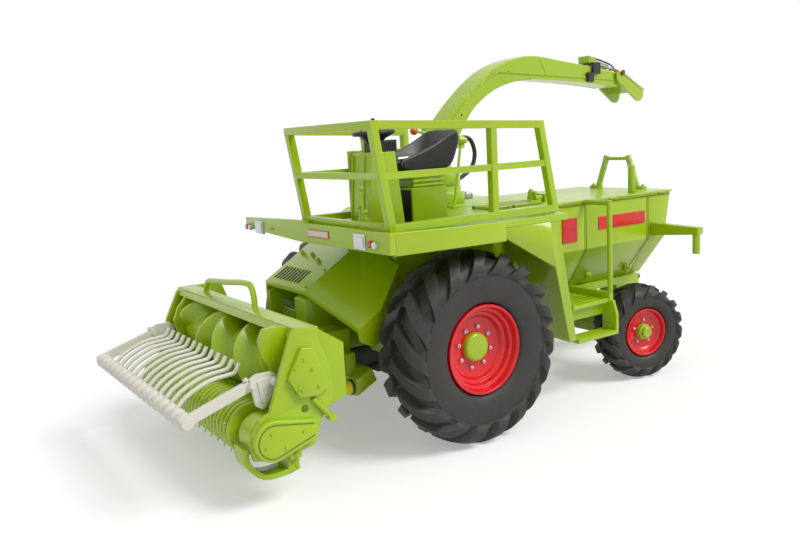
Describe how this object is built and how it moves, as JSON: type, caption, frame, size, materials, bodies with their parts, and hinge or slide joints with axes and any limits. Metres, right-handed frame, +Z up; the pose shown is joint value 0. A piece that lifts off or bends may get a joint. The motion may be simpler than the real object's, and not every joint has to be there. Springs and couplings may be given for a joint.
{
  "type": "forage harvester scale model",
  "caption": "Die-cast model of a self-propelled forage harvester with swivelling spout, open platform, pick-up header, steered rear wheels and turning auger.",
  "frame": {"origin": "bottom centre of the bounding box, on the ground", "axes": "+X towards the header, +Y to the left side with the ladder, +Z up"},
  "size_m": [0.2206, 0.0834, 0.1065],
  "materials": {
    "green_paint": "glossy yellow-green paint",
    "red_paint": "glossy red paint",
    "tyre": "matt dark grey",
    "black": "satin black",
    "ivory": "satin ivory",
    "silver": "bright",
    "yellow": "satin yellow"
  },
  "bodies": {
    "body": {"breather_pipe": "green_paint", "chassis_frame": "green_paint", "console_guard": "green_paint", "cutter_housing": "green_paint", "drive_gearbox": "green_paint", "exhaust_pipe": "green_paint", "feeder_cover": "green_paint", "feeder_housing": "green_paint", "filler_cap": "silver", "front_axle": "green_paint", "front_beam": "green_paint", "fuel_tank": "green_paint", "grab_rail": "green_paint", "hood_front": "green_paint", "hood_lid": "green_paint", "hood_middle": "green_paint", "hood_rear": "green_paint", "ladder_steps": "green_paint", "lamp_arm_left": "green_paint", "lamp_arm_right": "green_paint", "left_fender": "green_paint", "lever_console": "green_paint", "platform_deck": "green_paint", "platform_railing": "green_paint", "platform_skirt": "green_paint", "pto_guard": "yellow", "radiator_screen": "black", "rear_axle": "green_paint", "rear_hitch": "green_paint", "seat": "black", "seat_base": "green_paint", "spout_rest": "green_paint", "steering_console": "green_paint", "steering_wheel": "black", "turret_base": "green_paint"},
    "front_wheel_left": {"front_rim_left": "red_paint", "front_tyre_left": "tyre"},
    "front_wheel_right": {"front_rim_right": "red_paint", "front_tyre_right": "tyre"},
    "rear_knuckle_left": {"rear_knuckle_left": "green_paint"},
    "rear_knuckle_right": {"rear_knuckle_right": "green_paint"},
    "rear_wheel_left": {"rear_rim_left": "red_paint", "rear_tyre_left": "tyre"},
    "rear_wheel_right": {"rear_rim_right": "red_paint", "rear_tyre_right": "tyre"},
    "turret": {"turret": "green_paint", "spout_hose": "black"},
    "spout": {"spout_duct": "green_paint", "flap_cylinder": "silver"},
    "spout_flap": {"spout_flap": "green_paint"},
    "header": {"header_frame": "green_paint", "header_drive_cover": "green_paint", "header_side_cover": "green_paint", "skid_left": "green_paint", "skid_right": "green_paint"},
    "auger": {"auger": "green_paint"},
    "pickup_reel": {"pickup_reel": "green_paint"},
    "crop_guard": {"crop_guard": "ivory"}
  },
  "joints": [
    {"name": "front_wheel_left_spin", "type": "hinge", "parent": "body", "child": "front_wheel_left", "pos_m": [0.03259, 0.03195, 0.025], "axis": [0, 1, 0], "continuous": true},
    {"name": "front_wheel_right_spin", "type": "hinge", "parent": "body", "child": "front_wheel_right", "pos_m": [0.03259, -0.03405, 0.025], "axis": [0, 1, 0], "continuous": true},
    {"name": "rear_steer_left", "type": "hinge", "parent": "body", "child": "rear_knuckle_left", "pos_m": [-0.04142, 0.02395, 0.0148], "axis": [0, 0, 1], "range_deg": [-8, 32]},
    {"name": "rear_steer_right", "type": "hinge", "parent": "body", "child": "rear_knuckle_right", "pos_m": [-0.04142, -0.02605, 0.0148], "axis": [0, 0, 1], "range_deg": [-8, 32]},
    {"name": "rear_wheel_left_spin", "type": "hinge", "parent": "rear_knuckle_left", "child": "rear_wheel_left", "pos_m": [-0.0409, 0.02639, 0.0148], "axis": [0.2079, 0.9781, 0], "continuous": true},
    {"name": "rear_wheel_right_spin", "type": "hinge", "parent": "rear_knuckle_right", "child": "rear_wheel_right", "pos_m": [-0.04194, -0.02849, 0.0148], "axis": [0.2079, 0.9781, 0], "continuous": true},
    {"name": "spout_swivel", "type": "hinge", "parent": "body", "child": "turret", "pos_m": [0.00009, -0.01945, 0.0633], "axis": [0, 0, 1], "range_deg": [-100, 100]},
    {"name": "spout_lift", "type": "hinge", "parent": "turret", "child": "spout", "pos_m": [0.00684, -0.01868, 0.077], "axis": [-0.1132, 0.9936, 0], "range_deg": [0, 15]},
    {"name": "spout_flap_tilt", "type": "hinge", "parent": "spout", "child": "spout_flap", "pos_m": [-0.0945, -0.03023, 0.1], "axis": [0.1132, -0.9936, 0], "range_deg": [0, 40]},
    {"name": "header_lift", "type": "hinge", "parent": "body", "child": "header", "pos_m": [0.06678, -0.00105, 0.03], "axis": [0, -1, 0], "range_deg": [-7, 15]},
    {"name": "auger_spin", "type": "hinge", "parent": "header", "child": "auger", "pos_m": [0.08099, -0.00105, 0.0282], "axis": [0, 1, 0], "continuous": true},
    {"name": "pickup_reel_spin", "type": "hinge", "parent": "header", "child": "pickup_reel", "pos_m": [0.09259, -0.00105, 0.0168], "axis": [0, 1, 0], "continuous": true},
    {"name": "crop_guard_tilt", "type": "hinge", "parent": "header", "child": "crop_guard", "pos_m": [0.08919, -0.00105, 0.0284], "axis": [0, -1, 0], "range_deg": [-6, 25]}
  ],
  "couplings": [
    {"joint": "rear_steer_right", "follows": "rear_steer_left", "ratio": 1}
  ]
}
